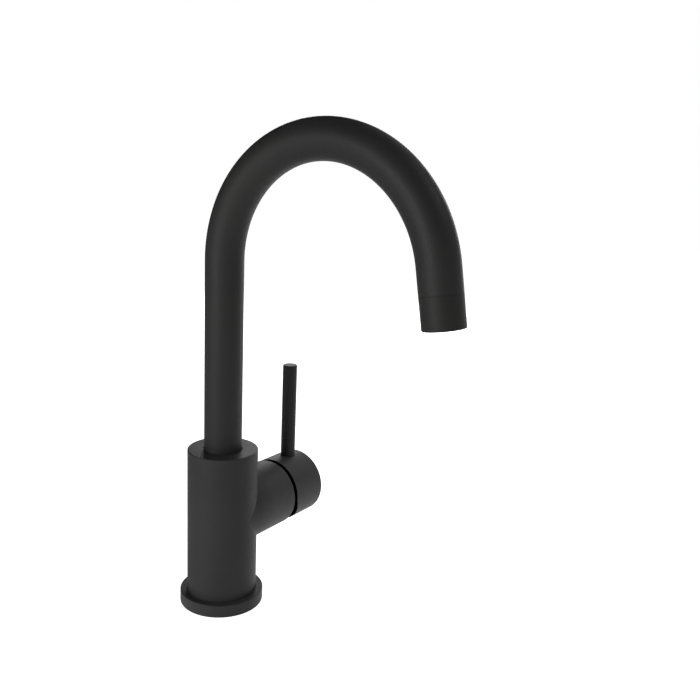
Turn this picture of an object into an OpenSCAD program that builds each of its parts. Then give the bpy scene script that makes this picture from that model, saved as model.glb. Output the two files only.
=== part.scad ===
// Single-hole lavatory faucet: swivel gooseneck spout, side boss with a joystick handle.
// Origin on the body axis at deck level, +Z up, -Y towards the user, +X to the user's right.
// Sizes are millimetres and degrees.

/* [Body] */
// Outer diameter of the upright body and of its side boss
body_d = 47.6; // [46:0.1:52]
// Height of the body top above the deck
body_h = 110.8; // [108:0.1:130]
// Wall round the hollow foot of the body
body_wall = 3.8; // [3:0.1:4.6]
// Height of the roof of the hollow foot above the deck
foot_h = 38; // [28:0.5:42]
// Rounding of the turned outer edges
edge_r = 0.6; // [0.3:0.1:1]

/* [Base] */
// Outer diameter of the base flange
base_d = 57.2; // [55:0.1:66]
// Height of the base flange
base_h = 8.6; // [6:0.1:14]
// Thickness of the flange ledge that carries the body
ledge_t = 3; // [2.5:0.1:4]
// Thickness of the deck gasket, flush with the flange underside
gasket_t = 1.5; // [1:0.1:2]
// Width of the deck gasket
gasket_w = 2.8; // [2:0.1:3]
// Height of the threaded inlet base in the foot
inlet_base_h = 12; // [11:0.5:16]
// How far the inlet base is set up from the deck
inlet_base_lift = 2; // [1:0.1:3]
// Distance between the two hose ports
port_pitch = 19; // [18:0.1:20]
// Wall diameter of a hose port, tapping size of a 10 mm fine thread
port_d = 8.9; // [8:0.1:9.4]
// Depth of a hose port
port_depth = 10; // [7:0.5:10.5]
// Wall diameter of the stud hole, tapping size of an 8 mm thread
stud_d = 6.8; // [5:0.1:8]
// Distance of the stud hole behind the body axis, away from the handle
stud_offset = 10.5; // [9:0.1:12]
// Diameter of the two inlet water passages
passage_d = 6.6; // [5:0.1:7]

/* [Spout] */
// Outer diameter of the spout tube
tube_d = 25.4; // [24:0.1:26]
// Wall of the spout tube
tube_wall = 1.4; // [1:0.1:1.6]
// Height of the point where the upright tube turns into the arch
spring_h = 238.6; // [190:0.1:300]
// Centreline radius of the arch
arch_r = 78.35; // [60:0.05:110]
// Angle of the arch
arch_angle = 170.2; // [150:0.1:180]
// Length of the straight run from the arch to the outlet
drop_l = 34.7; // [34:0.1:60]
// Length of the outlet sleeve below the seam
sleeve_l = 19.5; // [16.5:0.05:24]
// Depth of the tube end below the body top
tube_sink = 6.6; // [4:0.1:9]
// Swivel of the spout each way
swivel_limit = 60; // [30:1:75]

/* [Handle] */
// Height of the handle axis above the deck
handle_h = 63; // [61:0.1:66]
// Distance from the body axis to the rim of the side boss
boss_reach = 51.3; // [51:0.1:56]
// Gap between the boss rim and the handle cap
cap_gap = 3.1; // [2.5:0.1:5]
// Length of the handle cap
cap_l = 29.5; // [27:0.1:36]
// Outer diameter of the handle cap
cap_d = 47.2; // [46:0.1:50]
// Side wall of the handle cap
cap_wall = 2.2; // [1.6:0.1:3]
// Slope of the relief on the lower half of the cap rim
relief_angle = 19; // [18.5:0.5:22]
// Distance of the start of that relief below the handle axis
relief_start = 2.5; // [1:0.1:4]
// Diameter of the pin lever
lever_d = 10.5; // [8:0.1:12]
// Height of the lever top above the handle axis
lever_l = 93.1; // [60:0.1:130]
// Distance of the lever axis from the cap rim
lever_inset = 17.1; // [16:0.1:18]
// Outward tilt of the handle, shut to fully open
flow_limit = 18; // [12:0.5:18.5]
// Turn of the handle each way, mixed to hot or cold
temperature_limit = 45; // [30:1:50]

/* [Cartridge] */
// Outer diameter of the ceramic disc cartridge
cartridge_d = 35; // [34.6:0.1:35.4]
// Thickness of the cartridge base
cartridge_base_t = 3.8; // [3.4:0.1:4]
// Thickness of the fixed ceramic disc
fixed_disc_t = 3.45; // [3:0.05:3.6]
// Thickness of the moving ceramic disc
moving_disc_t = 3.5; // [3:0.05:3.8]
// Diameter of the moving ceramic disc
moving_disc_d = 22.6; // [22.2:0.1:22.8]
// Thickness of the disc carrier
carrier_t = 5.9; // [5.8:0.1:6.2]
// Distance from the stem pivot to the ball that drives the carrier
drive_arm = 10; // [9.9:0.05:10.1]
// Diameter of the ball on the stem
ball_d = 5.6; // [5.2:0.1:5.8]
// Width of the stem shank across the handle plane
stem_w = 7; // [6:0.1:7.4]
// Height of the stem shank in the handle plane
stem_h = 8; // [7:0.1:8.2]
// Diameter of the stem pivot pin
pin_d = 3.96; // [3:0.02:4.2]

/* [Hidden] */
$fn = 96;

run_gap = 0.05;
slide_gap = 0.1;
seat_gap = 0.03;
end_gap = 0.5;
cut = 1;
hex_key_d = 2.9;
hex_key_l = 2;

body_r = body_d / 2;
boss_r = body_r - 0.02;
foot_r = body_r - body_wall;
tube_r = tube_d / 2;
tube_bore_r = tube_r - tube_wall;

// Base
flange_r = base_d / 2;
ledge_r = foot_r + end_gap;
gasket_rim = 2.2;
gasket_out_r = flange_r - gasket_rim;
gasket_in_r = gasket_out_r - gasket_w;
port_r = port_d / 2;
stud_r = stud_d / 2;
passage_r = passage_d / 2;
port_x = 6.5;
port_y = port_pitch / 2;
post_wall = 2.5;
post_r = passage_r + post_wall;
inlet_top = inlet_base_lift + inlet_base_h;
seal_cord_r = 0.7;
seal_lip = 0.8;
inlet_seal_r = passage_r + seal_lip + seal_cord_r;

// Spout socket, listed from its floor up
socket_gap = 0.4;
socket_r = tube_r + socket_gap;
washer_t = 1;
land = 1.1;
slide_ring_h = 4;
slide_ring_t = 1.1;
o_ring_r = 1;
o_groove_h = 2.4;
stop_groove_h = 5;
foot_l = 6 * land + 2 * slide_ring_h + 2 * o_groove_h + stop_groove_h;
tube_end = body_h - tube_sink;
foot_bottom = tube_end - foot_l;
socket_floor = foot_bottom - run_gap - washer_t;
lower_ring_z = foot_bottom + land;
o_ring_z = [for (i = [0, 1]) lower_ring_z + slide_ring_h + land + i * (o_groove_h + land)];
stop_z = o_ring_z[1] + o_groove_h + land;
upper_ring_z = stop_z + stop_groove_h + land;
o_seat_r = socket_r - run_gap - 2 * o_ring_r;
ring_seat_r = tube_r - slide_ring_t;
foot_bore_r = 7.5;
spigot_h = 14;
riser_r = 5;

// Stop screw in the back of the body
dog_r = 2;
dog_l = 2.2;
screw_r = 2.5;
screw_l = 9;
stop_groove_t = 2.1;
dog_gap = 0.6;
stop_seat_r = tube_r - stop_groove_t;
dog_tip = stop_seat_r + dog_gap;
stop_half = swivel_limit + asin((dog_r + slide_gap) / dog_tip);

// Weld between the arch and the straight run, which laps inside the arch wall
weld_lap = 1;
weld_step = 0.04;

// Outlet
spigot_l = 8;
aerator_r = 11;
aerator_seat_w = 1.6;
shoulder_inset = 4.65;
sleeve_bore_r = aerator_r - aerator_seat_w;
shoulder_s = drop_l - sleeve_l + shoulder_inset;
aerator_washer_t = 2;
aerator_top = shoulder_s + aerator_washer_t;
aerator_recess = 0.8;
aerator_l = drop_l - aerator_recess - aerator_top;
aerator_bore_r = 8.4;
washer_bore_r = 8;
screen_t = 1;
screen_r = 9.6;
screen_wall = 0.6;
screen_cell = 1.9;
screen_rows = 4;
grid_t = 2.2;
grid_r = 9.4;
grid_wall = 0.5;
grid_cell = 2.3;
grid_rows = 3;
grid_inset = 0.6;
notch_w = 2;
notch_depth = 1.2;
seam_w = 0.15;

// Cartridge stack, listed from the cavity floor outwards
socket_wall = 1.4;
cavity_floor = socket_r + socket_wall;
cartridge_r = cartridge_d / 2;
cavity_gap = 0.25;
cavity_r = cartridge_r + cavity_gap;
base_lift = 0.2;
base_x = cavity_floor + base_lift;
disc_x = base_x + cartridge_base_t;
moving_x = disc_x + fixed_disc_t + run_gap;
carrier_x = moving_x + moving_disc_t;
carrier_gap = 0.2;
flange_x = carrier_x + carrier_t + carrier_gap;
rotor_flange_t = 4;
neck_x = flange_x + rotor_flange_t;
neck_r = 10;
neck_l = 7.9;
pivot_rise = 3.4;
pivot_x = neck_x + pivot_rise;
ball_x = pivot_x - drive_arm;
housing_wall = 1.9;
housing_roof = 2.4;
housing_neck_wall = 2.8;
housing_bore_r = cartridge_r - housing_wall;
shoulder_x = neck_x + housing_roof;
housing_neck_r = neck_r + housing_neck_wall;
housing_neck_l = 3;
base_flange_t = 1.8;
housing_x = base_x + base_flange_t;
moving_r = moving_disc_d / 2;

// Ports of the cartridge, each [across, up] from the handle axis
inlet_port = [6.5, 5.2];
outlet_port = [0, -4.6];
inlet_port_r = 2.8;
outlet_port_r = 3.4;
disc_inlet_r = 2.3;
disc_outlet_r = 2.8;
seal_depth = 1.3;
port_lip = 0.6;
cord_r = (seal_depth + base_lift) / 2;
in_seal_r = inlet_port_r + port_lip + cord_r;
out_seal_r = outlet_port_r + port_lip + cord_r;
peg_at = [10.5, -8];
peg_r = 1.9;
peg_l = 2.5;
key_at = 14.4;
key_r = 1.1;
pocket_r = 8.6;
pocket_top = 2;
pocket_depth = 1.8;

// Rotor and its stops
rotor_r = 13.5;
cheek_rise = 1.5;
cheek_x = carrier_x + cheek_rise;
cheek_y = 9;
rotor_gap = 0.15;
stop_r = housing_bore_r - slide_gap;
tab_gap = 0.3;
tab_reach = stop_r - tab_gap;
tab_half = 10;
tab_t = 3.2;
tab_rise = 0.4;
tab_play = 1;
stop_gap_angle = temperature_limit + tab_half + tab_play;
pin_r = pin_d / 2;
drive_peg = [7.2, 1.4, 1.2];
neck_stem_r = 1.9;
ball_r = ball_d / 2;
ball_gap = 0.15;
slot_side = stem_w / 2 + slide_gap;
slot_stop = stem_h / 2 / cos(flow_limit) + slide_gap;
swing_gap = 0.7;
slot_swing = stem_h / 2 * cos(flow_limit) + (neck_l - pivot_rise) * tan(flow_limit) + swing_gap;
pin_inset = 0.3;
pin_fit = 0.01;
mouth_step = 0.8;
mouth_depth = 1.2;
stem_root = 4;

// Nut and bonnet
nut_step = 1.25;
nut_gap = 0.2;
thread_r = cavity_r + nut_step;
nut_bore_r = housing_neck_r + nut_gap;
nut_thread_l = 5;
nut_hex_l = 3;
nut_hex_d = 31;
boss_wall = 3;
bonnet_r = body_r - boss_wall;
bonnet_depth = 5.1;
bonnet_x = boss_reach - bonnet_depth;
bonnet_rise = 1.7;
bonnet_hole_r = 12.6;
bonnet_wall = 1.5;
bonnet_skirt = 2.4;
bonnet_lip = 1.8;
bonnet_edge = 0.5;

// Handle
cap_x = boss_reach + cap_gap;
cap_r = cap_d / 2;
cap_end = 3;
hub_inset = 4.6;
hub_x = cap_x + hub_inset;
hub_r = 9;
stem_over = 0.4;
stem_end = cap_x + lever_inset + stem_over;
lever_x = cap_x + lever_inset;
lever_r = lever_d / 2;
lever_seat = 11;
lever_post_wall = 2.2;
lever_stud_r = 3;
lever_stud_l = 6;
post_sink = 0.9;
set_inset = 12.6;
set_x = cap_x + set_inset;
set_r = 2.5;
set_l = 5;
set_access_r = 2.8;

// Turned solid of radius r and height h with a rounded upper edge
module soft_rod(r, h, e) {
    rotate_extrude() {
        square([r - e, h]);
        square([r, h - e]);
        translate([r - e, h - e]) circle(e);
    }
}

// Plain ring between two radii
module ring(r_in, r_out, h) {
    rotate_extrude() translate([r_in, 0]) square([r_out - r_in, h]);
}

// Seal of round section
module cord_ring(r, cord) {
    rotate_extrude() translate([r, 0]) circle(cord);
}

// Places a form on the handle axis: its x runs to the back, its y up and its z outwards
module side_axis(x) {
    translate([x, 0, handle_h]) rotate([90, 0, 90]) children();
}

// Both signs of a position across the handle axis
module both_sides(at) {
    for (s = [-1, 1]) translate([s * at[0], at[1], 0]) children();
}

// Places a form on the spout axis, s along it from the end of the arch
module outlet_axis(s) {
    translate([0, -arch_r, spring_h]) rotate([arch_angle, 0, 0]) translate([0, arch_r, s]) children();
}

module ports(r, h) {
    for (s = [-1, 1]) translate([port_x, s * port_y, 0]) cylinder(r = r, h = h);
}

// Cast body: upright cylinder, side boss, spout socket, cartridge cavity and water passages
module body_casting() {
    color("#2b2b2c") difference() {
        union() {
            translate([0, 0, ledge_t]) soft_rod(body_r, body_h - ledge_t, edge_r);
            side_axis(0) soft_rod(boss_r, boss_reach, edge_r);
        }
        body_foot();
        body_socket();
        body_cavity();
        body_passages();
    }
}

module body_foot() {
    difference() {
        translate([0, 0, ledge_t - cut]) cylinder(r = foot_r, h = foot_h - ledge_t + cut);
        translate([0, 0, inlet_top]) ports(post_r, foot_h);
    }
}

module body_socket() {
    translate([0, 0, socket_floor]) cylinder(r = socket_r, h = body_h - socket_floor + cut);
    translate([0, dog_tip + cut, stop_z + stop_groove_h / 2]) rotate([-90, 0, 0])
        cylinder(r = screw_r, h = body_r);
}

module body_cavity() {
    side_axis(cavity_floor) cylinder(r = cavity_r, h = boss_reach);
    side_axis(shoulder_x - cut) cylinder(r = thread_r, h = boss_reach);
    side_axis(bonnet_x) cylinder(r = bonnet_r, h = boss_reach);
    side_axis(cavity_floor - peg_l - end_gap) both_sides(peg_at)
        cylinder(r = peg_r + slide_gap, h = peg_l + cut);
}

module body_passages() {
    translate([0, 0, inlet_top - cut])
        ports(passage_r, handle_h + inlet_port[1] + passage_r - inlet_top + cut);
    side_axis(port_x) both_sides(inlet_port) cylinder(r = inlet_port_r, h = cavity_floor - port_x + cut);
    side_axis(0) translate([outlet_port[0], outlet_port[1], 0])
        cylinder(r = outlet_port_r, h = cavity_floor + cut);
    translate([0, 0, handle_h + outlet_port[1] - riser_r])
        cylinder(r = riser_r, h = socket_floor - handle_h - outlet_port[1] + riser_r + cut);
}

// Base flange with the ledge under the body and the groove of the gasket
module base_flange() {
    color("#262627") difference() {
        soft_rod(flange_r, base_h, edge_r);
        translate([0, 0, ledge_t]) cylinder(r = body_r + run_gap, h = base_h);
        translate([0, 0, -cut]) cylinder(r = ledge_r, h = base_h);
        translate([0, 0, -cut]) ring(gasket_in_r, gasket_out_r, gasket_t + cut);
    }
}

module deck_gasket() {
    color("#1b1b1b") ring(gasket_in_r + slide_gap, gasket_out_r - slide_gap, gasket_t);
}

// Threaded base in the foot: two hose ports, the stud hole and the seats of its seals
module inlet_base() {
    color("#b9954f") difference() {
        translate([0, 0, inlet_base_lift]) cylinder(r = foot_r - seat_gap, h = inlet_base_h);
        translate([0, 0, inlet_base_lift - cut]) ports(port_r, port_depth + cut);
        translate([0, 0, inlet_base_lift]) ports(passage_r, inlet_base_h + cut);
        translate([-stud_offset, 0, inlet_base_lift - cut]) cylinder(r = stud_r, h = port_depth + cut);
        for (s = [-1, 1]) translate([port_x, s * port_y, inlet_top - 2 * seal_cord_r])
            ring(inlet_seal_r - seal_cord_r, inlet_seal_r + seal_cord_r, 2 * seal_cord_r + cut);
    }
}

module inlet_seals() {
    color("#151515") for (s = [-1, 1]) translate([port_x, s * port_y, inlet_top - seal_cord_r])
        cord_ring(inlet_seal_r, seal_cord_r);
}

module thrust_washer() {
    color("#e8e6df") translate([0, 0, socket_floor])
        ring(foot_bore_r + end_gap, socket_r - slide_gap, washer_t);
}

// Headless screw with a dog point that runs in the groove of the spout foot
module spout_stop_screw() {
    color("#8d8f92") translate([0, dog_tip, stop_z + stop_groove_h / 2]) rotate([-90, 0, 0]) difference() {
        union() {
            cylinder(r = dog_r, h = dog_l + cut);
            translate([0, 0, dog_l]) cylinder(r = screw_r - seat_gap, h = screw_l - dog_l);
        }
        translate([0, 0, screw_l - hex_key_l]) cylinder(d = hex_key_d, h = hex_key_l + cut, $fn = 6);
    }
}

// Cartridge base: flange, spigot, locating pegs, disc keys and seal grooves
module cartridge_base() {
    color("#d9d6cb") side_axis(base_x) difference() {
        union() {
            cylinder(r = cartridge_r, h = base_flange_t);
            cylinder(r = housing_bore_r - run_gap, h = cartridge_base_t);
            translate([0, 0, -peg_l]) both_sides(peg_at) cylinder(r = peg_r, h = peg_l + cut);
            both_sides([key_at, 0]) cylinder(r = key_r, h = cartridge_base_t + fixed_disc_t / 2);
        }
        translate([0, 0, -cut]) both_sides(inlet_port) cylinder(r = inlet_port_r, h = 2 * cartridge_base_t);
        translate([outlet_port[0], outlet_port[1], -cut])
            cylinder(r = outlet_port_r, h = 2 * cartridge_base_t);
        both_sides(inlet_port) seal_groove(in_seal_r);
        translate([outlet_port[0], outlet_port[1], 0]) seal_groove(out_seal_r);
    }
}

module seal_groove(r) {
    translate([0, 0, -cut]) ring(r - cord_r, r + cord_r, 2 * cord_r - base_lift + cut);
}

module cartridge_seals() {
    color("#1a1a1a") side_axis(cavity_floor + cord_r) {
        both_sides(inlet_port) cord_ring(in_seal_r, cord_r);
        translate([outlet_port[0], outlet_port[1], 0]) cord_ring(out_seal_r, cord_r);
    }
}

module fixed_disc() {
    color("#f2f1ec") side_axis(disc_x) difference() {
        cylinder(r = housing_bore_r - 2 * slide_gap, h = fixed_disc_t);
        translate([0, 0, -cut]) both_sides(inlet_port) cylinder(r = disc_inlet_r, h = 2 * fixed_disc_t);
        translate([outlet_port[0], outlet_port[1], -cut])
            cylinder(r = disc_outlet_r, h = 2 * fixed_disc_t);
        translate([0, 0, -cut]) both_sides([key_at, 0])
            cylinder(r = key_r + slide_gap, h = fixed_disc_t / 2 + cut + slide_gap);
    }
}

// Cartridge housing: cup over the discs, turn stops inside and a neck round the rotor
module cartridge_housing() {
    color("#3b3d40") side_axis(0) difference() {
        union() {
            translate([0, 0, housing_x]) cylinder(r = cartridge_r, h = shoulder_x - housing_x);
            translate([0, 0, housing_x])
                cylinder(r = housing_neck_r, h = shoulder_x + housing_neck_l - housing_x);
        }
        translate([0, 0, housing_x - cut])
            cylinder(r = housing_bore_r, h = flange_x - housing_x + cut);
        translate([0, 0, housing_x])
            cylinder(r = rotor_r + rotor_gap, h = neck_x + slide_gap - housing_x);
        translate([0, 0, housing_x]) cylinder(r = neck_r + run_gap, h = boss_reach);
        translate([0, 0, flange_x - tab_gap]) rotate([0, 0, 90 - stop_gap_angle])
            rotate_extrude(angle = 2 * stop_gap_angle)
                square([stop_r, rotor_flange_t + tab_gap]);
    }
}

// Retaining nut: threaded ring with a hexagon drive
module cartridge_nut() {
    color("#b08d4a") side_axis(shoulder_x) difference() {
        union() {
            cylinder(r = thread_r - run_gap, h = nut_thread_l);
            cylinder(r = nut_hex_d / 2 / cos(30), h = nut_thread_l + nut_hex_l, $fn = 6);
        }
        translate([0, 0, -cut]) cylinder(r = nut_bore_r, h = nut_thread_l + nut_hex_l + 2 * cut);
    }
}

// Trim ring screwed into the boss mouth, domed towards the cap
module bonnet() {
    dome = bonnet_rise + bonnet_edge;
    steps = 8;
    color("#1d1d1e") side_axis(bonnet_x) rotate_extrude() polygon(concat(
        [[bonnet_hole_r, bonnet_depth + bonnet_rise - bonnet_lip], [bonnet_r - bonnet_wall, bonnet_skirt],
            [bonnet_r - bonnet_wall, 0], [bonnet_r - run_gap, 0]],
        [for (i = [0:steps]) [
            bonnet_hole_r + (bonnet_r - run_gap - bonnet_hole_r) * cos(90 * i / steps),
            bonnet_depth - bonnet_edge + dome * sin(90 * i / steps)]]));
}

// Brass foot of the spout: spigot in the tube, ring and seal grooves, stop groove at the back
module spout_foot() {
    color("#b9954f") difference() {
        union() {
            translate([0, 0, foot_bottom]) cylinder(r = tube_r, h = foot_l);
            translate([0, 0, tube_end]) cylinder(r = tube_bore_r - seat_gap, h = spigot_h);
        }
        translate([0, 0, foot_bottom - cut]) cylinder(r = foot_bore_r, h = foot_l + spigot_h + 2 * cut);
        for (z = [lower_ring_z, upper_ring_z])
            translate([0, 0, z]) ring(ring_seat_r, tube_r + cut, slide_ring_h);
        for (z = o_ring_z)
            translate([0, 0, z]) ring(o_seat_r, tube_r + cut, o_groove_h);
        translate([0, 0, stop_z]) rotate([0, 0, 90 - stop_half])
            rotate_extrude(angle = 2 * stop_half)
                translate([stop_seat_r, 0]) square([tube_r, stop_groove_h]);
    }
}

// Split slide rings above and below the seals
module foot_slide_rings() {
    color("#e8e6df") for (z = [lower_ring_z, upper_ring_z]) translate([0, 0, z + seat_gap]) difference() {
        ring(ring_seat_r + seat_gap, socket_r - run_gap, slide_ring_h - 2 * seat_gap);
        translate([0, -end_gap, -cut]) cube([2 * socket_r, 2 * end_gap, slide_ring_h + 2 * cut]);
    }
}

module foot_o_rings() {
    color("#151515") for (z = o_ring_z) translate([0, 0, z + o_groove_h / 2])
        cord_ring(o_seat_r + o_ring_r, o_ring_r);
}

module tube_section(step) {
    difference() {
        circle(tube_r - step);
        circle(tube_bore_r + step);
    }
}

// Gooseneck tube: upright leg, arch and the short run to the seam
module spout_tube() {
    color("#2b2b2c") {
        translate([0, 0, tube_end]) linear_extrude(spring_h - tube_end) tube_section(0);
        translate([0, -arch_r, spring_h]) rotate([90, 0, 90])
            rotate_extrude(angle = arch_angle) translate([arch_r, 0]) tube_section(0);
        outlet_axis(-weld_lap) linear_extrude(drop_l - sleeve_l + weld_lap) tube_section(weld_step);
    }
}

// Outlet sleeve: spigot in the tube, seam, aerator chamber and rounded rim
module outlet_sleeve() {
    color("#2a2927") outlet_axis(0) difference() {
        union() {
            translate([0, 0, drop_l - sleeve_l + seam_w]) soft_rod(tube_r, sleeve_l - seam_w, edge_r);
            translate([0, 0, drop_l - sleeve_l - spigot_l])
                cylinder(r = tube_bore_r - seat_gap, h = spigot_l + cut);
        }
        cylinder(r = sleeve_bore_r, h = drop_l + cut);
        translate([0, 0, shoulder_s]) cylinder(r = aerator_r, h = drop_l);
    }
}

module aerator_washer() {
    color("#1c1c1c") outlet_axis(shoulder_s) ring(washer_bore_r, aerator_r - slide_gap, aerator_washer_t);
}

// Aerator cup with a screen seat above, a grid seat below and four key notches
module aerator_body() {
    color("#3a3a3b") outlet_axis(aerator_top) difference() {
        ring(aerator_bore_r, aerator_r - run_gap, aerator_l);
        translate([0, 0, -cut]) cylinder(r = screen_r, h = screen_t + cut);
        translate([0, 0, aerator_l - grid_t - grid_inset]) cylinder(r = grid_r, h = grid_t + cut);
        for (a = [45:90:315]) rotate([0, 0, a])
            translate([washer_bore_r, -notch_w / 2, aerator_l - notch_depth])
                cube([aerator_r, notch_w, notch_depth + cut]);
    }
}

// Round plate pierced by a honeycomb
module honeycomb_plate(r, t, cell, wall, rows) {
    pitch = cell + wall;
    linear_extrude(t) difference() {
        circle(r);
        for (i = [-rows:rows], j = [-rows:rows])
            if (norm([pitch * (i + j / 2), pitch * j * sin(60)]) < r - cell * 0.62)
                translate([pitch * (i + j / 2), pitch * j * sin(60)]) rotate([0, 0, 30])
                    circle(d = cell / cos(30), $fn = 6);
    }
}

module aerator_screen() {
    color("#9a9c9e") outlet_axis(aerator_top)
        honeycomb_plate(screen_r - seat_gap, screen_t, screen_cell, screen_wall, screen_rows);
}

module aerator_grid() {
    color("#4a4b4c") outlet_axis(aerator_top + aerator_l - grid_t - grid_inset)
        honeycomb_plate(grid_r - seat_gap, grid_t, grid_cell, grid_wall, grid_rows);
}

// Rotor: flange with the stop tab, cheeks that guide the carrier, neck with the stem slot
module rotor() {
    color("#c9c6bb") side_axis(0) difference() {
        union() {
            translate([0, 0, flange_x]) cylinder(r = rotor_r, h = rotor_flange_t);
            translate([0, 0, flange_x]) cylinder(r = neck_r, h = rotor_flange_t + neck_l);
            translate([0, 0, cheek_x]) difference() {
                cylinder(r = rotor_r, h = flange_x - cheek_x + cut);
                translate([-cheek_y, -2 * rotor_r, -cut])
                    cube([2 * cheek_y, 4 * rotor_r, flange_x - cheek_x + cut]);
            }
            translate([0, 0, flange_x + tab_rise]) rotate([0, 0, 90 - tab_half])
                rotate_extrude(angle = 2 * tab_half) square([tab_reach, tab_t]);
        }
        translate([-slot_side, -slot_stop, flange_x - 2 * cut])
            cube([2 * slot_side, slot_stop + slot_swing, pivot_x - flange_x + 2 * cut]);
        translate([-slot_side, -slot_swing, pivot_x])
            cube([2 * slot_side, slot_stop + slot_swing, neck_l]);
        translate([-neck_r - cut, 0, pivot_x]) rotate([0, 90, 0])
            cylinder(r = pin_r + pin_fit, h = 2 * neck_r + 2 * cut);
    }
}

module pivot_pin() {
    color("#b5b7ba") translate([pivot_x, neck_r - pin_inset, handle_h]) rotate([90, 0, 0])
        cylinder(r = pin_r, h = 2 * (neck_r - pin_inset));
}

// Disc carrier: slides between the cheeks, pegged to the moving disc, driven by the stem ball
module disc_carrier() {
    socket_r = ball_r + ball_gap;
    color("#d4d1c6") side_axis(carrier_x) difference() {
        union() {
            intersection() {
                cylinder(r = moving_r, h = carrier_t);
                translate([-cheek_y + slide_gap, -moving_r, -cut])
                    cube([2 * (cheek_y - slide_gap), 2 * moving_r, carrier_t + 2 * cut]);
            }
            translate([0, 0, -drive_peg[2]]) both_sides([drive_peg[0], 0])
                cylinder(r = drive_peg[1], h = drive_peg[2] + cut);
        }
        translate([0, 0, ball_x - carrier_x - ball_r - carrier_gap]) cylinder(r = socket_r, h = carrier_t);
        translate([0, 0, carrier_t - mouth_depth])
            cylinder(r1 = socket_r, r2 = socket_r + mouth_step, h = mouth_depth);
        translate([0, 0, carrier_t]) cylinder(r = socket_r + mouth_step, h = cut);
    }
}

// Moving disc with the mixing pocket on its lower face
module moving_disc() {
    color("#f4f3ee") side_axis(moving_x) difference() {
        cylinder(r = moving_r, h = moving_disc_t);
        translate([0, 0, -cut]) intersection() {
            cylinder(r = pocket_r, h = pocket_depth + cut);
            translate([-moving_r, pocket_top - 2 * moving_r, 0])
                cube([2 * moving_r, 2 * moving_r, 2 * cut + pocket_depth]);
        }
        translate([0, 0, moving_disc_t - drive_peg[2] - seat_gap]) both_sides([drive_peg[0], 0])
            cylinder(r = drive_peg[1] + seat_gap, h = drive_peg[2] + cut);
    }
}

// Stem: ball, neck, and a flat-sided shank that turns on the pivot pin
module stem() {
    color("#a9abae") side_axis(0) difference() {
        union() {
            translate([0, 0, ball_x]) sphere(ball_r);
            translate([0, 0, ball_x]) cylinder(r = neck_stem_r, h = pivot_x - ball_x);
            translate([-stem_w / 2, -stem_h / 2, pivot_x - stem_root])
                cube([stem_w, stem_h, stem_end - pivot_x + stem_root]);
        }
        translate([-stem_w, 0, pivot_x]) rotate([0, 90, 0]) cylinder(r = pin_r + run_gap, h = 2 * stem_w);
    }
}

// Handle cap: shell, hub with the stem socket, lever post and relieved lower rim
module handle_cap() {
    socket = slide_gap / 2;
    color("#313132") side_axis(cap_x) difference() {
        union() {
            difference() {
                soft_rod(cap_r, cap_l, edge_r);
                translate([0, 0, -cut]) cylinder(r = cap_r - cap_wall, h = cap_l - cap_end + cut);
            }
            translate([0, 0, hub_x - cap_x]) cylinder(r = hub_r, h = cap_l - cap_end / 2 - hub_x + cap_x);
            translate([0, hub_r / 2, lever_inset]) rotate([-90, 0, 0])
                cylinder(r = lever_r + lever_post_wall, h = cap_r - cap_wall / 2 - hub_r / 2 - post_sink);
        }
        translate([0, -relief_start, 0]) rotate([-relief_angle, 0, 0])
            translate([-cap_d, -cap_d, -cap_d]) cube([2 * cap_d, cap_d, cap_d]);
        translate([-stem_w / 2 - socket, -stem_h / 2 - socket, -cut])
            cube([stem_w + 2 * socket, stem_h + 2 * socket, stem_end - cap_x + slide_gap + cut]);
        translate([0, lever_seat, lever_inset]) rotate([-90, 0, 0])
            cylinder(r = lever_r + seat_gap, h = cap_r);
        translate([0, 0, lever_inset]) rotate([-90, 0, 0])
            cylinder(r = lever_stud_r + seat_gap, h = cap_r / 2 + cut);
        translate([0, 0, set_x - cap_x]) rotate([90, 0, 0]) cylinder(r = set_r, h = hub_r + cut);
        translate([0, -hub_r, set_x - cap_x]) rotate([90, 0, 0]) cylinder(r = set_access_r, h = cap_r);
    }
}

// Pin lever with a threaded stud in the hub
module handle_lever() {
    color("#2c2c2d") translate([lever_x, 0, handle_h]) {
        translate([0, 0, lever_seat]) soft_rod(lever_r, lever_l - lever_seat, edge_r);
        translate([0, 0, lever_seat - lever_stud_l]) cylinder(r = lever_stud_r, h = lever_stud_l + cut);
    }
}

module handle_set_screw() {
    color("#8d8f92") side_axis(set_x) translate([0, -stem_h / 2, 0]) rotate([90, 0, 0]) difference() {
        cylinder(r = set_r - seat_gap, h = set_l);
        translate([0, 0, set_l - hex_key_l]) cylinder(d = hex_key_d, h = hex_key_l + cut, $fn = 6);
    }
}

body_casting();
base_flange();
deck_gasket();
inlet_base();
inlet_seals();
thrust_washer();
spout_stop_screw();
cartridge_base();
cartridge_seals();
fixed_disc();
cartridge_housing();
cartridge_nut();
bonnet();
spout_foot();
foot_slide_rings();
foot_o_rings();
spout_tube();
outlet_sleeve();
aerator_washer();
aerator_body();
aerator_screen();
aerator_grid();
rotor();
pivot_pin();
disc_carrier();
moving_disc();
stem();
handle_cap();
handle_lever();
handle_set_screw();
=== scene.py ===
import bpy
import bmesh
import math
from mathutils import Matrix, Vector


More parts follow.
